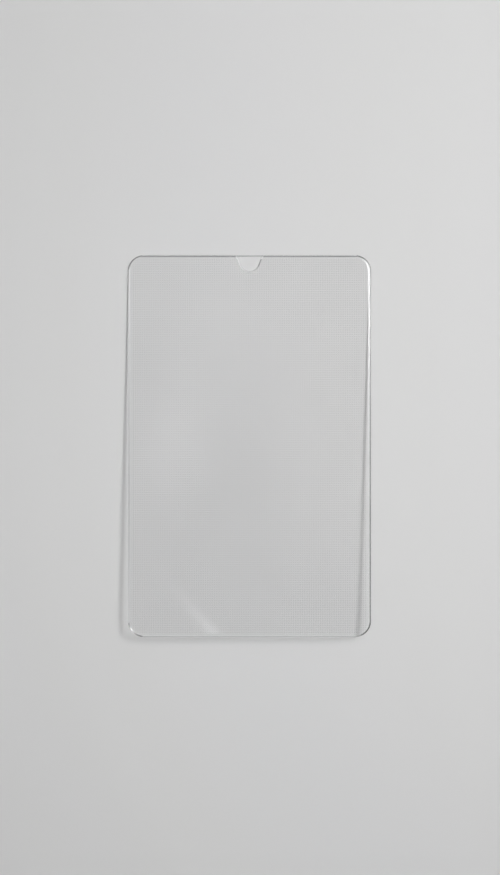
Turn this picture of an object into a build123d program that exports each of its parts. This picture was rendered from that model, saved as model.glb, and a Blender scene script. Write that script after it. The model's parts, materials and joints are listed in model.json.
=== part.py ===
from build123d import *
from math import radians, sin, tan
import os

# A clear glass sheet that sticks to the front of a phone.
# It lies with its adhesive underside on z = 0, centred in x and y, its camera end towards +y.

# The sheet
sheet_width = 70.0
sheet_length = 110.0
sheet_thickness = 0.4
corner_radius = 4.5

# The rim of the front face, ground to an arc that is tangent to the face
rim_width = 1.0
rim_drop = 0.24

# The small break along the edges of the underside
underside_break = 0.05

# The camera cut-out in the middle of the end edge: a round root, straight flanks that open
# towards the edge, and flared shoulders. Its depth is measured from the end edge.
cutout_depth = 4.6
cutout_root_radius = 2.75
cutout_flank_angle = 20.0
cutout_flare_width = 0.75
cutout_flare_depth = 0.6
cutout_flare_radius = 0.8
cutout_edge_radius = 0.3

# The strip of the rim that runs unbroken across the mouth of the cut-out
strip_width = 0.4

# Places that follow from those sizes
half_width = sheet_width / 2
half_length = sheet_length / 2
rim_edge_height = sheet_thickness - rim_drop
rim_radius = (rim_width**2 + rim_drop**2) / (2 * rim_drop)
flank_slope = tan(radians(cutout_flank_angle))
apex_depth = cutout_depth + cutout_root_radius * (1 / sin(radians(cutout_flank_angle)) - 1)
apex_y = half_length - apex_depth
mouth_y = half_length - strip_width
shoulder_y = mouth_y - cutout_flare_depth
shoulder_x = (shoulder_y - apex_y) * flank_slope
mouth_x = shoulder_x + cutout_flare_width
tool_clearance = 0.3

with BuildPart() as screen_protector:
    # The blank, a flat sheet with rounded corners
    with BuildSketch():
        RectangleRounded(sheet_width, sheet_length, corner_radius)
    extrude(amount=sheet_thickness)

    # The cut-out, as a window behind the strip
    with BuildSketch() as cutout:
        with BuildLine():
            Polyline(
                (0, apex_y),
                (shoulder_x, shoulder_y),
                (mouth_x, mouth_y),
                (-mouth_x, mouth_y),
                (-shoulder_x, shoulder_y),
                close=True,
            )
        make_face()
        root = cutout.vertices().sort_by(Axis.Y)[0]
        fillet(root, cutout_root_radius)
        shoulders = cutout.vertices().group_by(Axis.Y)[-2]
        fillet(shoulders, cutout_flare_radius)
    extrude(amount=sheet_thickness, mode=Mode.SUBTRACT)

    # The rounded front edge of the cut-out
    front = screen_protector.faces().sort_by(Axis.Z)[-1]
    window = front.inner_wires()[0].edges()
    fillet(window, cutout_edge_radius)

    # The rim, cut by carrying its waste profile round the outline
    with BuildLine() as outline:
        side = Line((half_width, 0), (half_width, half_length - corner_radius))
        corner = JernArc(side @ 1, side % 1, corner_radius, 90)
        Line(corner @ 1, (0, half_length))
        mirror(about=Plane.YZ)
        mirror(about=Plane.XZ)
    with BuildSketch(Plane.XZ) as rim_waste:
        with BuildLine():
            rim_start = (half_width - rim_width, sheet_thickness)
            rim_end = (half_width, rim_edge_height)
            RadiusArc(rim_start, rim_end, rim_radius)
            Polyline(
                rim_end,
                (half_width + tool_clearance, rim_edge_height),
                (half_width + tool_clearance, sheet_thickness + tool_clearance),
                (half_width - rim_width, sheet_thickness + tool_clearance),
                rim_start,
            )
        make_face()
    sweep(sections=rim_waste.sketch, path=outline.wire(), mode=Mode.SUBTRACT)

    # The break along the underside
    underside = screen_protector.faces().sort_by(Axis.Z)[0]
    chamfer(underside.edges(), underside_break)

screen_protector.part.label = "screen_protector"

os.makedirs("parts", exist_ok=True)
export_step(screen_protector.part, "parts/screen_protector.step")
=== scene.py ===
import json
import math

import bmesh
import bpy
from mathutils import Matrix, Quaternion, Vector

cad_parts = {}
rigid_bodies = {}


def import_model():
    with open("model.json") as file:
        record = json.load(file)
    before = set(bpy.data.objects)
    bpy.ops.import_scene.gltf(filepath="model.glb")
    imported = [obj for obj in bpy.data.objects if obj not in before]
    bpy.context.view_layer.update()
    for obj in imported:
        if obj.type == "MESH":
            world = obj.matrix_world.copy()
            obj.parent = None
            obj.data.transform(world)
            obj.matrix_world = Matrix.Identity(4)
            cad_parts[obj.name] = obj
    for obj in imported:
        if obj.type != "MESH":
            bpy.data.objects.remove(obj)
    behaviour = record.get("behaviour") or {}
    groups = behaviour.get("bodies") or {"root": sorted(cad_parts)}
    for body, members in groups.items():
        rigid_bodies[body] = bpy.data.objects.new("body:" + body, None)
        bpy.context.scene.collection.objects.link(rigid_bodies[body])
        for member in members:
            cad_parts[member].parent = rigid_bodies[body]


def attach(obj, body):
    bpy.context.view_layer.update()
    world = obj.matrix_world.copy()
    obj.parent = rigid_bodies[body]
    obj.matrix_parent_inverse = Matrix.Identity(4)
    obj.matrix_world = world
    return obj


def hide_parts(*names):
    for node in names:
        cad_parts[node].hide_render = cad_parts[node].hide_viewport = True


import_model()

for item in list(bpy.data.objects):  # the start-up cube, lamp and camera
    if item.name in ("Cube", "Light", "Camera"):
        bpy.data.objects.remove(item)
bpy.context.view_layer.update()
scene = bpy.context.scene
scene.view_settings.view_transform = "Standard"
mm = 0.001
flatNormal = 0.99999  # the upright part of a flat face's normal, at least
weldGap = 1e-6  # points nearer than this are one
colorA, colorB, colorOut = 6, 7, 2  # a Mix node's colour sockets
wholeA, wholeB = 2, 3  # a Compare node's sockets for whole numbers


def hexColor(code):  # sRGB hex to linear
    parts = [int(code[i:i + 2], 16) / 255 for i in (1, 3, 5)]
    linear = [c / 12.92 if c <= 0.04045 else ((c + 0.055) / 1.055) ** 2.4 for c in parts]
    return (*linear, 1.0)


# An input takes a value, a node, a socket or a list of them
def addNode(tree, kind, inputs=None, **settings):
    node = tree.nodes.new(kind)
    for key, value in settings.items():
        setattr(node, key, value)
    for key, value in (inputs or {}).items():
        for source in value if isinstance(value, list) else [value]:
            if isinstance(source, bpy.types.Node):
                source = source.outputs[0]
            if isinstance(source, bpy.types.NodeSocket):
                tree.links.new(source, node.inputs[key])
            else:
                node.inputs[key].default_value = source
    return node


# The glass sheet, with the sizes of the solid in mm
sheet = {
    "width": 70.0,
    "length": 110.0,
    "thickness": 0.4,
    "cornerRadius": 4.5,
    "rimWidth": 1.0,
    "rimDrop": 0.24,
    "undersideBreak": 0.05,
    "cutoutDepth": 4.6,
    "rootRadius": 2.75,
    "flankAngle": 20.0,
    "flareWidth": 0.75,
    "flareDepth": 0.6,
    "flareRadius": 0.8,
    "cutoutEdge": 0.3,
    "stripWidth": 0.4,
    "overrun": 0.5,  # how far the cutter stands past both faces
    "sideSteps": 24,
    "cornerSteps": 60,
    "rimSteps": 20,
    "cutoutSteps": 24,
    "edgeSteps": 12,
    "smoothAngle": 20.0,  # degrees, past which an edge stays sharp
}


def cutoutCorners(s):  # anticlockwise from the root: x, y and the corner's fillet
    flank = math.radians(s["flankAngle"])
    half = s["length"] / 2
    apex = half - s["cutoutDepth"] - s["rootRadius"] * (1 / math.sin(flank) - 1)
    mouth = half - s["stripWidth"]
    shoulder = mouth - s["flareDepth"]
    shoulderX = (shoulder - apex) * math.tan(flank)
    mouthX = shoulderX + s["flareWidth"]
    return [
        (0.0, apex, s["rootRadius"]),
        (shoulderX, shoulder, s["flareRadius"]),
        (mouthX, mouth, 0.0),
        (-mouthX, mouth, 0.0),
        (-shoulderX, shoulder, s["flareRadius"]),
    ]


def makeSheetTree():  # carries the rim's profile round the outline, caps it and cuts the cut-out
    tree = bpy.data.node_groups.new("glassSheetTree", "GeometryNodeTree")
    sockets = {
        "NodeSocketGeometry": ["Cut-out"],
        "NodeSocketFloat": ["Width", "Length", "Corner Radius", "Thickness", "Rim Width", "Rim Edge",
                            "Rim Radius", "Rim Sweep", "Underside Break", "Cut-out Edge", "Overrun"],
        "NodeSocketInt": ["Side Steps", "Corner Steps", "Rim Steps", "Cut-out Steps", "Edge Steps"],
        "NodeSocketMaterial": ["Face Glass", "Rim Glass", "Cut Glass"],
    }
    for kind, names in sockets.items():
        for name in names:
            tree.interface.new_socket(name=name, in_out="INPUT", socket_type=kind)
    tree.interface.new_socket(name="Sheet", in_out="OUTPUT", socket_type="NodeSocketGeometry")
    given = addNode(tree, "NodeGroupInput").outputs
    thick = given["Thickness"]
    edge = given["Cut-out Edge"]
    over = given["Overrun"]
    foot = given["Underside Break"]
    flip = (1.0, -1.0, 1.0)  # a profile's y runs down once it is carried round a curve

    # rim profile, x from the outline outwards and y up
    inward = addNode(tree, "ShaderNodeMath", {0: given["Rim Width"], 1: -1.0}, operation="MULTIPLY")
    arcLow = addNode(tree, "ShaderNodeMath", {0: thick, 1: given["Rim Radius"]}, operation="SUBTRACT")
    arcAt = addNode(tree, "ShaderNodeCombineXYZ", {"X": inward, "Y": arcLow})
    arc = addNode(tree, "GeometryNodeCurveArc",
                  {"Resolution": given["Rim Steps"], "Radius": given["Rim Radius"],
                   "Start Angle": math.pi / 2, "Sweep Angle": given["Rim Sweep"]}, mode="RADIUS")
    rimArc = addNode(tree, "GeometryNodeTransform", {"Geometry": arc, "Translation": arcAt})
    wallTop = addNode(tree, "ShaderNodeCombineXYZ", {"Y": given["Rim Edge"]})
    wallFoot = addNode(tree, "ShaderNodeCombineXYZ", {"Y": foot})
    footIn = addNode(tree, "ShaderNodeMath", {0: foot, 1: -1.0}, operation="MULTIPLY")
    breakFoot = addNode(tree, "ShaderNodeCombineXYZ", {"X": footIn})
    wall = addNode(tree, "GeometryNodeCurvePrimitiveLine", {"Start": wallTop, "End": wallFoot})
    footBreak = addNode(tree, "GeometryNodeCurvePrimitiveLine", {"Start": wallFoot, "End": breakFoot})
    rimParts = addNode(tree, "GeometryNodeJoinGeometry", {0: [rimArc, wall, footBreak]})
    rimProfile = addNode(tree, "GeometryNodeTransform", {"Geometry": rimParts, "Scale": flip})
    quad = addNode(tree, "GeometryNodeCurvePrimitiveQuadrilateral",
                   {"Width": given["Width"], "Height": given["Length"]})
    rounded = addNode(tree, "GeometryNodeFilletCurve",
                      {"Curve": quad, "Count": given["Corner Steps"], "Radius": given["Corner Radius"]},
                      mode="POLY")
    cornerPoints = addNode(tree, "ShaderNodeMath", {0: given["Corner Steps"], 1: 1.0}, operation="ADD")
    pointTurn = addNode(tree, "ShaderNodeMath",
                        {0: addNode(tree, "GeometryNodeInputIndex"), 1: cornerPoints}, operation="MODULO")
    startsSide = addNode(tree, "ShaderNodeMath", {0: pointTurn, 1: given["Corner Steps"], 2: 0.5},
                         operation="COMPARE")
    cuts = addNode(tree, "ShaderNodeMath", {0: given["Side Steps"], 1: startsSide}, operation="MULTIPLY")
    outline = addNode(tree, "GeometryNodeSubdivideCurve", {"Curve": rounded, "Cuts": cuts})

    # cut-out profile: a straight wall with its front edge rounded outwards
    edgeFoot = addNode(tree, "ShaderNodeMath", {0: thick, 1: edge}, operation="SUBTRACT")
    below = addNode(tree, "ShaderNodeMath", {0: over, 1: -1.0}, operation="MULTIPLY")
    above = addNode(tree, "ShaderNodeMath", {0: thick, 1: over}, operation="ADD")
    cutFoot = addNode(tree, "ShaderNodeCombineXYZ", {"Y": below})
    cutWall = addNode(tree, "ShaderNodeCombineXYZ", {"Y": edgeFoot})
    edgeAt = addNode(tree, "ShaderNodeCombineXYZ", {"X": edge, "Y": edgeFoot})
    edgeTop = addNode(tree, "ShaderNodeCombineXYZ", {"X": edge, "Y": thick})
    cutTop = addNode(tree, "ShaderNodeCombineXYZ", {"X": edge, "Y": above})
    edgeArc = addNode(tree, "GeometryNodeCurveArc",
                      {"Resolution": given["Edge Steps"], "Radius": edge,
                       "Start Angle": math.pi / 2, "Sweep Angle": math.pi / 2}, mode="RADIUS")
    edgeRound = addNode(tree, "GeometryNodeTransform", {"Geometry": edgeArc, "Translation": edgeAt})
    upper = addNode(tree, "GeometryNodeCurvePrimitiveLine", {"Start": cutTop, "End": edgeTop})
    lower = addNode(tree, "GeometryNodeCurvePrimitiveLine", {"Start": cutWall, "End": cutFoot})
    cutParts = addNode(tree, "GeometryNodeJoinGeometry", {0: [upper, edgeRound, lower]})
    cutProfile = addNode(tree, "GeometryNodeTransform", {"Geometry": cutParts, "Scale": flip})
    corners = addNode(tree, "GeometryNodeMeshToCurve", {"Mesh": given["Cut-out"]})
    fillets = addNode(tree, "GeometryNodeInputNamedAttribute", {"Name": "filletRadius"}, data_type="FLOAT")
    cutCurve = addNode(tree, "GeometryNodeFilletCurve",
                       {"Curve": corners, "Count": given["Cut-out Steps"], "Radius": fillets}, mode="POLY")

    # both bands are carried round, welded and capped
    position = addNode(tree, "GeometryNodeInputPosition")
    height = addNode(tree, "ShaderNodeSeparateXYZ", {0: position})
    faces = addNode(tree, "GeometryNodeInputMeshEdgeNeighbors")
    isOpen = addNode(tree, "FunctionNodeCompare", {wholeA: faces, wholeB: 1},
                     data_type="INT", operation="EQUAL")
    middle = addNode(tree, "ShaderNodeMath", {0: thick, 1: 0.5}, operation="MULTIPLY")
    isHigh = addNode(tree, "FunctionNodeCompare", {0: height.outputs["Z"], 1: middle},
                     data_type="FLOAT", operation="GREATER_THAN")
    solids = []
    bands = [
        (outline, rimProfile, thick, 0.0, "Rim Glass"),
        (cutCurve, cutProfile, above, below, "Cut Glass"),
    ]
    for path, profile, top, bottom, glass in bands:
        band = addNode(tree, "GeometryNodeCurveToMesh", {"Curve": path, "Profile Curve": profile})
        welded = addNode(tree, "GeometryNodeMergeByDistance", {"Geometry": band, "Distance": weldGap})
        caps = []
        for operation, level in (("AND", top), ("NIMPLY", bottom)):
            chosen = addNode(tree, "FunctionNodeBooleanMath", {0: isOpen, 1: isHigh}, operation=operation)
            loop = addNode(tree, "GeometryNodeMeshToCurve", {"Mesh": welded, "Selection": chosen})
            fill = addNode(tree, "GeometryNodeFillCurve", {"Curve": loop}, mode="NGONS")
            facing = fill if operation == "AND" else addNode(tree, "GeometryNodeFlipFaces", {"Mesh": fill})
            lift = addNode(tree, "ShaderNodeCombineXYZ", {"Z": level})
            caps.append(addNode(tree, "GeometryNodeTransform", {"Geometry": facing, "Translation": lift}))
        shell = addNode(tree, "GeometryNodeJoinGeometry", {0: [welded, *caps]})
        closed = addNode(tree, "GeometryNodeMergeByDistance", {"Geometry": shell, "Distance": weldGap})
        solids.append(addNode(tree, "GeometryNodeSetMaterial",
                              {"Geometry": closed, "Material": given[glass]}))
    cut = addNode(tree, "GeometryNodeMeshBoolean", {"Mesh 1": solids[0], "Mesh 2": solids[1]},
                  operation="DIFFERENCE", solver="EXACT")
    whole = addNode(tree, "GeometryNodeRealizeInstances", {"Geometry": cut})
    normal = addNode(tree, "GeometryNodeInputNormal")
    upright = addNode(tree, "ShaderNodeSeparateXYZ", {0: normal}).outputs["Z"]
    flatness = addNode(tree, "ShaderNodeMath", {0: upright}, operation="ABSOLUTE")
    isFlat = addNode(tree, "FunctionNodeCompare", {0: flatness, 1: flatNormal},
                     data_type="FLOAT", operation="GREATER_THAN")
    finished = addNode(tree, "GeometryNodeSetMaterial",
                       {"Geometry": whole, "Selection": isFlat, "Material": given["Face Glass"]})
    addNode(tree, "NodeGroupOutput", {"Sheet": finished})
    return tree


outside = -1.0  # where a band starts that reaches out to the outline

# How the edges treat light, as bands in mm in from the outline: one part of the rim turns lamp light
# aside, and a narrower one carries painted shade, dark lines painted along the edge, stronger on some
# sides and in the corners. A list gives a value at shares of a side's length, counted from the cut-out's
# end, or of an end's, counted from the left
edgePlan = {
    "turnedFrom": {"right": outside,
                   "left": outside,
                   "top": [(0.2, 0.17), (0.9, 0.26)],
                   "bottom": outside},
    "turnedTo": {"right": [(0.0, 0.36), (0.8, 0.43), (0.9, 0.62)],
                 "left": [(0.0, 0.65), (0.4, 0.85), (0.64, 1.1)],
                 "top": [(0.2, 0.4), (0.9, 0.47)],
                 "bottom": [(0.1, 1.0), (0.5, 0.82), (1.0, 0.82)]},
    "turnedBlend": 0.07,
    "mouthTurned": 0.6,  # the strip across the cut-out's mouth turns less
    # Painted shade: the band of the rim that is painted darker, and how strongly, side by side
    "paintedShadeFrom": {"right": outside, "left": 0.15, "top": 0.25, "bottom": outside},
    "paintedShadeTo": {"right": 0.42, "left": 0.5, "top": 0.5, "bottom": 0.3},
    "paintedShadeBlend": 0.07,
    "shade": {"right": [(0.0, 0.1), (0.12, 0.45), (0.25, 0.66), (0.8, 0.84)],
              "left": [(0.25, 0.0), (0.64, 0.35), (0.88, 0.0)],
              "top": [(0.13, 0.68), (0.3, 0.76), (0.7, 0.76), (0.9, 0.92)],
              "bottom": 0.22},
    # Painted shade in each corner, dark arcs along the rim
    "cornerShade": {("right", "top"): (0.1, 1.0, 1.0),  # beside the side, in the middle and beside the end
                    ("left", "top"): (0.65, 0.75, 0.65),
                    ("left", "bottom"): (1.0, 0.1, 1.0),
                    ("right", "bottom"): (0.95, 2.2, 0.3)},
    "cornerTo": {("right", "top"): 0.36,
                 ("left", "top"): 0.34,
                 ("left", "bottom"): 0.38,
                 ("right", "bottom"): 0.42},
    "cornerBlend": 0.02,  # how soon a corner's painted shade takes over from its side's
    "rootShade": 0.35,  # painted shade at the cut-out's root
    "flankShade": 1.0,  # painted shade on its right flank, below the flare
    "flareBlend": 0.3,
    "flankFade": (2.2, 4.6),  # how deep in the cut-out the flank's painted shade starts and ends to lighten
    "flankLightens": 0.6,
    "steepRun": (0.02, 0.15),  # the level part of the normal where the cut face starts to count
    "awayRun": (0.1, 0.6),  # how far it turns to the left before it is fully dark
    "leastRun": 0.01,
}


def alongSide(stops, along):
    if not isinstance(stops, list):
        return stops
    for (low, first), (high, last) in zip(stops, stops[1:]):
        if along < high:
            return first + (last - first) * max(0.0, (along - low) / (high - low))
    return stops[-1][1]


def blendIn(low, high, value):
    share = min(1.0, max(0.0, (value - low) / (high - low)))
    return share * share * (3 - 2 * share)


def outlinePlace(x, y, s):  # how far in from the outline a point lies, and the way out from there
    radius = s["cornerRadius"]
    pastX = abs(x) - s["width"] / 2 + radius
    pastY = abs(y) - s["length"] / 2 + radius
    reach = max(pastX, pastY)
    out = (1.0, 0.0) if pastX > pastY else (0.0, 1.0)
    if pastX > 0 and pastY > 0:
        reach = math.hypot(pastX, pastY)
        out = (pastX / reach, pastY / reach)
    return radius - reach, math.copysign(out[0], x), math.copysign(out[1], y)


def band(low, high, blend, inward):
    return blendIn(low - blend, low + blend, inward) * (1 - blendIn(high - blend, high + blend, inward))


def markEdges(mesh, s):  # two attributes for the edges' glass: lamp light turned aside, and painted shade
    e = edgePlan
    mouth = cutoutCorners(s)[2][0]
    flareFoot = s["stripWidth"] + s["flareDepth"]
    kinds = [material.name for material in mesh.materials]
    normals = [tuple(normal.vector.xy) for normal in mesh.corner_normals]
    turned = []
    paintedShade = []
    for loop in mesh.loops:
        x, y = mesh.vertices[loop.vertex_index].co.xy / mm
        inward, outX, outY = outlinePlace(x, y, s)
        along = (0.5 - y / s["length"], 0.5 + x / s["width"])
        sides = ("right" if outX > 0 else "left", "top" if outY > 0 else "bottom")
        turnedHere = 0.0
        paintedShadeHere = 0.0
        for i, share in enumerate((outX ** 2, outY ** 2)):
            part = {key: alongSide(e[key][sides[i]], along[i])
                    for key in ("turnedFrom", "turnedTo", "paintedShadeFrom", "paintedShadeTo", "shade")}
            turnedHere += share * band(part["turnedFrom"], part["turnedTo"], e["turnedBlend"], inward)
            paintedShadeBand = band(part["paintedShadeFrom"], part["paintedShadeTo"], e["paintedShadeBlend"], inward)
            paintedShadeHere += share * part["shade"] * paintedShadeBand
        # Painted shade in the corners: dark arcs, weighted along each corner
        besideSide, inMiddle, besideEnd = e["cornerShade"][sides]
        cornerPaintedShade = besideSide * outX ** 4 + inMiddle * 2 * (outX * outY) ** 2 + besideEnd * outY ** 4
        cornerPaintedShade *= band(outside, e["cornerTo"][sides], e["paintedShadeBlend"], inward)
        cornerShare = blendIn(0.0, e["cornerBlend"], min(outX ** 2, outY ** 2))
        if y > 0 and abs(x) < mouth:
            turnedHere *= e["mouthTurned"]
        turned.append(turnedHere)
        paintedShade.append(paintedShadeHere + (cornerPaintedShade - paintedShadeHere) * cornerShare)
    for face in mesh.polygons:
        if kinds[face.material_index] != "cutGlassEdge":
            continue
        for corner in face.loop_indices:
            x, y = normals[corner]
            run = math.hypot(x, y)
            divisor = max(run, e["leastRun"])
            depth = s["length"] / 2 - mesh.vertices[mesh.loops[corner].vertex_index].co.y / mm
            belowFlare = blendIn(flareFoot, flareFoot + e["flareBlend"], depth)
            steep = blendIn(*e["steepRun"], run) * belowFlare
            away = blendIn(*e["awayRun"], -x / divisor)
            turned[corner] = steep * away
            # The cut-out's flank that faces away from the lamp, and its root, get painted shade
            faded = 1 - e["flankLightens"] * blendIn(*e["flankFade"], depth)
            rootPaintedShade = e["rootShade"] * max(y / divisor, 0.0) ** 2
            paintedShade[corner] = steep * max(e["flankShade"] * away * faded, rootPaintedShade)
    for name, values in (("lampTurned", turned), ("edgeGrey", paintedShade)):
        mesh.attributes.new(name, "FLOAT", "CORNER").data.foreach_set("value", values)


def makeSheet(s, faceGlass, rimGlass, cutGlass):
    corners = cutoutCorners(s)
    base = bpy.data.meshes.new("glassSheet")
    base.from_pydata([(x * mm, y * mm, 0.0) for x, y, fillet in corners],
                     [(i, (i + 1) % len(corners)) for i in range(len(corners))], [])
    radii = base.attributes.new("filletRadius", "FLOAT", "POINT")
    for i, corner in enumerate(corners):
        radii.data[i].value = corner[2] * mm
    piece = bpy.data.objects.new("glass_sheet", base)
    scene.collection.objects.link(piece)
    tree = makeSheetTree()
    rimRadius = (s["rimWidth"] ** 2 + s["rimDrop"] ** 2) / (2 * s["rimDrop"])
    values = {
        "Width": s["width"] * mm,
        "Length": s["length"] * mm,
        "Corner Radius": s["cornerRadius"] * mm,
        "Thickness": s["thickness"] * mm,
        "Rim Width": s["rimWidth"] * mm,
        "Rim Edge": (s["thickness"] - s["rimDrop"]) * mm,
        "Rim Radius": rimRadius * mm,
        "Rim Sweep": -math.asin(s["rimWidth"] / rimRadius),
        "Underside Break": s["undersideBreak"] * mm,
        "Cut-out Edge": s["cutoutEdge"] * mm,
        "Overrun": s["overrun"] * mm,
        "Side Steps": s["sideSteps"],
        "Corner Steps": s["cornerSteps"],
        "Rim Steps": s["rimSteps"],
        "Cut-out Steps": s["cutoutSteps"],
        "Edge Steps": s["edgeSteps"],
        "Face Glass": faceGlass,
        "Rim Glass": rimGlass,
        "Cut Glass": cutGlass,
    }
    modifier = piece.modifiers.new("sheet", "NODES")
    modifier.node_group = tree
    for item in tree.interface.items_tree:
        if item.in_out == "INPUT" and item.name in values:
            modifier[item.identifier] = values[item.name]
    evaluated = piece.evaluated_get(bpy.context.evaluated_depsgraph_get())
    finished = bpy.data.meshes.new_from_object(evaluated)
    piece.modifiers.remove(modifier)
    piece.data = finished
    bpy.data.meshes.remove(base)
    finished.name = "glassSheet"
    for slot in reversed(range(len(finished.materials))):  # the cut leaves an empty slot
        if finished.materials[slot] is None:
            finished.materials.pop(index=slot)
    shape = bmesh.new()
    shape.from_mesh(finished)
    for face in shape.faces:
        face.smooth = True
    for edge in shape.edges:
        kinds = [face.material_index for face in edge.link_faces]
        edge.smooth = kinds[0] == kinds[1] and edge.calc_face_angle() < math.radians(s["smoothAngle"])
    shape.to_mesh(finished)
    shape.free()
    markEdges(finished, s)
    return piece


# Float glass, tempered: clear and smooth, so it only dims the floor a little and mirrors the room. Its
# adhesive carries a grid of fine dots, drawn coarser than the real one so that it shows as a faint grain,
# and is a little cloudy
faceFinish = {
    "color": "#FFFFFF",
    "dotColor": "#EAEAEA",
    "dotPitch": 0.65,  # mm
    "cloudColor": "#FBFBFB",
    "cloudSize": 18.0,  # mm
    "cloudDetail": 2.0,
    "ior": 1.5,
    "roughness": 0.0,
    "lampShare": 0.963,  # this much of the lamp and room light passes each face
}


def makeFaceGlass(s):
    material = bpy.data.materials.new("temperedGlass")
    material.use_nodes = True
    tree = material.node_tree
    tree.nodes.clear()
    place = addNode(tree, "ShaderNodeTexCoord").outputs["Object"]
    perPitch = math.pi / 10 / (s["dotPitch"] * mm)  # the scale at which one wave is one pitch long
    rows = [addNode(tree, "ShaderNodeTexWave", {"Vector": place, "Scale": perPitch}, bands_direction=axis)
            for axis in ("X", "Y")]
    dots = addNode(tree, "ShaderNodeMath", {0: rows[0].outputs["Fac"], 1: rows[1].outputs["Fac"]},
                   operation="MULTIPLY")
    grain = addNode(tree, "ShaderNodeMix",
                    {"Factor": dots, colorA: hexColor(s["color"]), colorB: hexColor(s["dotColor"])},
                    data_type="RGBA")
    cloud = addNode(tree, "ShaderNodeTexNoise",
                    {"Vector": place, "Scale": 1 / (s["cloudSize"] * mm),
                     "Detail": s["cloudDetail"]})
    film = addNode(tree, "ShaderNodeMix",
                   {"Factor": cloud.outputs["Fac"], colorA: hexColor(s["color"]),
                    colorB: hexColor(s["cloudColor"])},
                   data_type="RGBA")
    tint = addNode(tree, "ShaderNodeMix",
                   {"Factor": 1.0, colorA: grain.outputs[colorOut], colorB: film.outputs[colorOut]},
                   data_type="RGBA", blend_type="MULTIPLY")
    clear = addNode(tree, "ShaderNodeBsdfPrincipled",
                    {"Base Color": tint.outputs[colorOut], "Roughness": s["roughness"], "IOR": s["ior"],
                     "Transmission Weight": 1.0})
    passing = addNode(tree, "ShaderNodeBsdfTransparent", {"Color": (s["lampShare"],) * 3 + (1.0,)})
    rays = addNode(tree, "ShaderNodeLightPath").outputs
    diffuse = addNode(tree, "ShaderNodeMixShader", {0: rays["Is Diffuse Ray"], 1: clear, 2: passing})
    shadow = addNode(tree, "ShaderNodeMixShader", {0: rays["Is Shadow Ray"], 1: diffuse, 2: passing})
    addNode(tree, "ShaderNodeOutputMaterial", {"Surface": shadow})
    return material


# Ground and polished glass edge: clear inside, with painted shade at the very edge, stronger on some sides
# and in the corners, and with glints that its fine grit softens
rimFinish = {
    "innerColor": "#FAFBFB",
    # the colour that the painted shade darkens the edge towards
    "paintedShadeColor": "#505252",
    "ior": 1.5,
    "roughness": 0.23,
    "gritRoughness": 0.05,  # more or less than that
    "gritSize": 0.3,  # mm
    "clear": 1.0,
    "lampShare": 0.96,
    "turnedShare": 0.02,
}
# The cut-out's edge, ground with a small wheel and left matt, so it is light towards the lamp and dark away
# from it, with painted shade on its flank away from the lamp and at its root
cutFinish = dict(rimFinish, roughness=0.4, clear=0.85)


def makeEdgeGlass(name, s):
    material = bpy.data.materials.new(name)
    material.use_nodes = True
    tree = material.node_tree
    tree.nodes.clear()
    turned = addNode(tree, "ShaderNodeAttribute", attribute_name="lampTurned")
    paintedShade = addNode(tree, "ShaderNodeAttribute", attribute_name="edgeGrey")
    # the clear glass colour, darkened towards the painted shade colour where the attribute says
    tint = addNode(tree, "ShaderNodeMix",
                   {"Factor": paintedShade.outputs["Fac"], colorA: hexColor(s["innerColor"]),
                    colorB: hexColor(s["paintedShadeColor"])},
                   data_type="RGBA")
    share = addNode(tree, "ShaderNodeMapRange",
                    {"Value": turned.outputs["Fac"], "To Min": s["lampShare"], "To Max": s["turnedShare"]})
    place = addNode(tree, "ShaderNodeTexCoord").outputs["Object"]
    grit = addNode(tree, "ShaderNodeTexNoise", {"Vector": place, "Scale": 1 / (s["gritSize"] * mm)})
    roughness = addNode(tree, "ShaderNodeMapRange",
                        {"Value": grit.outputs["Fac"], "To Min": s["roughness"] - s["gritRoughness"],
                         "To Max": s["roughness"] + s["gritRoughness"]})
    clear = addNode(tree, "ShaderNodeBsdfPrincipled",
                    {"Base Color": tint.outputs[colorOut], "Roughness": roughness, "IOR": s["ior"],
                     "Transmission Weight": s["clear"]})
    lampLight = addNode(tree, "ShaderNodeBsdfTransparent", {"Color": share})
    roomLight = addNode(tree, "ShaderNodeBsdfTransparent", {"Color": (s["lampShare"],) * 3 + (1.0,)})
    rays = addNode(tree, "ShaderNodeLightPath").outputs
    diffuse = addNode(tree, "ShaderNodeMixShader", {0: rays["Is Diffuse Ray"], 1: clear, 2: roomLight})
    shadow = addNode(tree, "ShaderNodeMixShader", {0: rays["Is Shadow Ray"], 1: diffuse, 2: lampLight})
    addNode(tree, "ShaderNodeOutputMaterial", {"Surface": shadow})
    return material


sheetPiece = makeSheet(sheet, makeFaceGlass(faceFinish), makeEdgeGlass("groundGlassEdge", rimFinish),
                       makeEdgeGlass("cutGlassEdge", cutFinish))
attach(sheetPiece, "root")
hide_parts("screen_protector")
print("sheet made:", len(sheetPiece.data.polygons), "faces")


# Matt grey board: it meets the sheet's cut-out end and drops away below its other end, and far from the
# sheet it fades to one plain pale grey
floorPlan = {
    "size": 4.0,  # metres
    "slope": 0.0378,
    "contactY": 55.0,  # mm
    "contactDrop": 0.02,  # mm
    "color": "#D4D4D4",
    "farColor": "#CFCFCF",
    "farFrom": 0.145,  # metres from the middle
    "farTo": 0.27,
}


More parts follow.
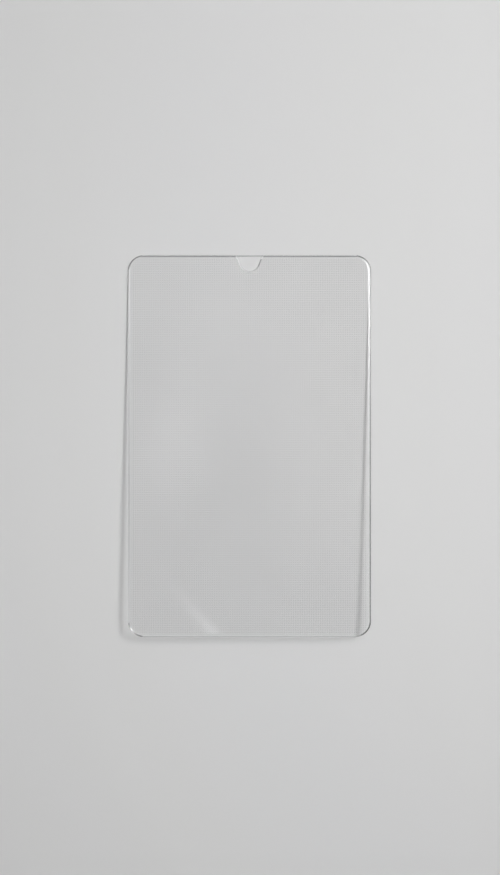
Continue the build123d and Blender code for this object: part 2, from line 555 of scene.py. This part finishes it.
def makeFloor(s):
    half = s["size"] / 2
    contact = s["contactY"] * mm
    corners = [(-half, -half), (half, -half), (half, half), (-half, half)]
    mesh = bpy.data.meshes.new("floor")
    mesh.from_pydata([(x, y, (y - contact) * s["slope"] - s["contactDrop"] * mm) for x, y in corners],
                     [], [(0, 1, 2, 3)])
    floor = bpy.data.objects.new("floor", mesh)
    scene.collection.objects.link(floor)
    material = bpy.data.materials.new("matteGreyBoard")
    material.use_nodes = True
    tree = material.node_tree
    tree.nodes.clear()
    board = addNode(tree, "ShaderNodeBsdfDiffuse", {"Color": hexColor(s["color"])})
    far = addNode(tree, "ShaderNodeEmission", {"Color": hexColor(s["farColor"])})
    place = addNode(tree, "ShaderNodeTexCoord").outputs["Object"]
    reach = addNode(tree, "ShaderNodeVectorMath", {0: place}, operation="LENGTH").outputs["Value"]
    farShare = addNode(tree, "ShaderNodeMapRange",
                       {"Value": reach, "From Min": s["farFrom"], "From Max": s["farTo"]},
                       interpolation_type="SMOOTHSTEP")
    rays = addNode(tree, "ShaderNodeLightPath").outputs
    seen = addNode(tree, "ShaderNodeMath", {0: rays["Is Camera Ray"], 1: rays["Is Glossy Ray"]},
                   operation="MAXIMUM")
    share = addNode(tree, "ShaderNodeMath", {0: farShare, 1: seen}, operation="MULTIPLY")
    surface = addNode(tree, "ShaderNodeMixShader", {0: share, 1: board, 2: far})
    addNode(tree, "ShaderNodeOutputMaterial", {"Surface": surface})
    mesh.materials.append(material)
    return floor


makeFloor(floorPlan)
print("floor made")

# Lamps: where they stand in metres, how wide they are, their watts and how far their glow spreads. The
# key lamp lights the floor and throws the shadows, and the overhead lamp only lightens the floor's middle.
# The glints are what the ground edges catch. The flat faces mirror no lamp, so they stay clear from every
# side
lamps = {
    "keyLamp": {"at": (0.39, 0.228, 0.565), "aim": (0.0, 0.0, 0.0), "size": (0.46, 0.3), "watts": 9.75,
                "glow": (0.1, 0.06), "roll": -24.5,  # long from end to end of the sheet
                "hidden": ("camera", "glossy", "transmission")},
    "overheadLamp": {"at": (-0.01, -0.0195, 0.306), "aim": (-0.01, -0.0195, 0.0), "size": (0.16, 0.16),
                     "watts": 0.23, "hidden": ("camera", "glossy", "transmission"), "shadow": False},
    "keyGlint": {"at": (0.44, 0.27, 0.654), "aim": (0.44, 0.27, 0.0), "size": (0.48, 0.34), "watts": 12.0,
                 "shape": "RECTANGLE", "hidden": ("camera", "diffuse", "glossy")},
    "rightGlint": {"at": (0.34, -0.08, 0.654), "aim": (0.0, 0.0, 0.0), "size": (0.5, 0.5), "watts": 0.7,
                   "glow": (0.09, 0.09), "hidden": ("camera", "diffuse", "glossy")},
    "leftGlint": {"at": (-0.56, 0.195, 0.654), "aim": (-0.56, 0.195, 0.0), "size": (0.2, 0.12),
                  "watts": 1.65, "shape": "RECTANGLE", "hidden": ("camera", "diffuse", "glossy")},
    "cornerGlint": {"at": (-0.6, -0.53, 0.6), "aim": (0.0, 0.0, 0.0), "size": (0.16, 0.16), "watts": 4.8,
                    "hidden": ("camera", "diffuse", "glossy")},
}


def makeLamp(name, s):
    lamp = bpy.data.lights.new(name, "AREA")
    lamp.shape = s.get("shape", "ELLIPSE")
    lamp.size, lamp.size_y = s["size"]
    lamp.energy = s["watts"]
    lamp.use_shadow = s.get("shadow", True)
    lamp.cycles.use_multiple_importance_sampling = False  # its light comes by shadow rays alone
    item = bpy.data.objects.new(name, lamp)
    item.location = s["at"]
    aim = Vector(s["aim"]) - item.location
    roll = Quaternion((0.0, 0.0, 1.0), math.radians(s.get("roll", 0.0)))
    item.rotation_euler = (aim.to_track_quat("-Z", "Y") @ roll).to_euler()
    for rays in s["hidden"]:
        setattr(item, "visible_" + rays, False)
    scene.collection.objects.link(item)
    if "glow" in s:  # bright in the middle, soft to the rim
        lamp.use_nodes = True
        tree = lamp.node_tree
        tree.nodes.clear()
        place = addNode(tree, "ShaderNodeNewGeometry").outputs["Parametric"]
        centred = addNode(tree, "ShaderNodeVectorMath", {0: place, 1: (0.5, 0.5, 0.0)},
                          operation="SUBTRACT")
        spread = [size / glow for size, glow in zip(s["size"], s["glow"])]
        flat = addNode(tree, "ShaderNodeVectorMath", {0: centred, 1: (*spread, 0.0)}, operation="MULTIPLY")
        reach = addNode(tree, "ShaderNodeVectorMath", {0: flat, 1: flat}, operation="DOT_PRODUCT")
        fall = addNode(tree, "ShaderNodeMath", {0: reach.outputs["Value"], 1: -0.5}, operation="MULTIPLY")
        glow = addNode(tree, "ShaderNodeMath", {0: fall}, operation="EXPONENT")
        emission = addNode(tree, "ShaderNodeEmission", {"Strength": glow})
        addNode(tree, "ShaderNodeOutputLight", {"Surface": emission})


for name, settings in lamps.items():
    makeLamp(name, settings)

# The room: pale walls and a dim ceiling with soft patches of light, which the flat glass mirrors
room = {
    "wall": 0.46,
    "ceiling": 0.157,
    "backdropTop": 0.6,  # how far up the glass mirrors the pale backdrop
    "lowestUp": 0.05,  # keeps the lean finite near the horizon
}
patches = [  # how far each leans from straight up, as x and y over z, its spread, turn in degrees and light
    {"lean": (0.0, 0.25), "spread": (0.5, 0.15), "turn": 0.0, "light": 0.3},
    {"lean": (0.27, -0.059), "spread": (0.6, 0.031), "turn": -43.0, "light": 0.24},
    {"lean": (-0.068, 0.005), "spread": (0.025, 0.042), "turn": -16.0, "light": 0.55},
    {"lean": (0.083, -0.031), "spread": (0.048, 0.083), "turn": 23.0, "light": 0.38},
    {"lean": (0.023, -0.255), "spread": (0.0038, 0.062), "turn": 41.0, "light": 3.3},  # a narrow strip
    {"lean": (-0.034, 0.117), "spread": (0.073, 0.033), "turn": -39.0, "light": 0.33},
]


def makeRoom(s):
    world = bpy.data.worlds.new("room")
    scene.world = world
    world.use_nodes = True
    world.cycles.sampling_method = "NONE"  # its light comes by diffuse rays, which the rim lets pass
    sky = world.node_tree
    sky.nodes.clear()
    toSky = addNode(sky, "ShaderNodeTexCoord").outputs["Generated"]
    upward = addNode(sky, "ShaderNodeSeparateXYZ", {0: toSky}).outputs["Z"]
    level = addNode(sky, "ShaderNodeMapRange",
                    {"Value": upward, "To Min": s["wall"], "To Max": s["ceiling"]})
    upLeast = addNode(sky, "ShaderNodeMath", {0: upward, 1: s["lowestUp"]}, operation="MAXIMUM")
    lean = addNode(sky, "ShaderNodeVectorMath", {0: toSky, 1: upLeast}, operation="DIVIDE")
    for patch in patches:
        place = addNode(sky, "ShaderNodeMapping",
                        {"Vector": lean, "Location": (*patch["lean"], 1.0),
                         "Rotation": (0.0, 0.0, math.radians(patch["turn"])),
                         "Scale": (*patch["spread"], 1.0)},
                        vector_type="TEXTURE")
        reach = addNode(sky, "ShaderNodeVectorMath", {0: place, 1: place}, operation="DOT_PRODUCT")
        fall = addNode(sky, "ShaderNodeMath", {0: reach.outputs["Value"], 1: -0.5}, operation="MULTIPLY")
        glow = addNode(sky, "ShaderNodeMath", {0: fall}, operation="EXPONENT")
        level = addNode(sky, "ShaderNodeMath", {0: glow, 1: patch["light"], 2: level},
                        operation="MULTIPLY_ADD")
    rays = addNode(sky, "ShaderNodeLightPath").outputs
    low = addNode(sky, "ShaderNodeMapRange",
                  {"Value": upward, "From Min": s["backdropTop"], "From Max": 0.0},
                  interpolation_type="SMOOTHSTEP")
    mirrored = addNode(sky, "ShaderNodeMath", {0: rays["Is Glossy Ray"], 1: low}, operation="MULTIPLY")
    seen = addNode(sky, "ShaderNodeMath", {0: rays["Is Camera Ray"], 1: mirrored}, operation="MAXIMUM")
    color = addNode(sky, "ShaderNodeMix",
                    {"Factor": seen, colorA: level, colorB: hexColor(floorPlan["farColor"])},
                    data_type="RGBA")
    light = addNode(sky, "ShaderNodeBackground", {"Color": color.outputs[colorOut]})
    addNode(sky, "ShaderNodeOutputWorld", {"Surface": light})


makeRoom(room)
print("lights made")

# The camera looks straight down
view = {"at": (0.00014, 0.00248, 0.3), "lens": 42.8, "sensor": 36.0}
camera = bpy.data.cameras.new("camera")
camera.lens = view["lens"]
camera.sensor_width = view["sensor"]
cameraItem = bpy.data.objects.new("camera", camera)
cameraItem.location = view["at"]
scene.collection.objects.link(cameraItem)
scene.camera = cameraItem
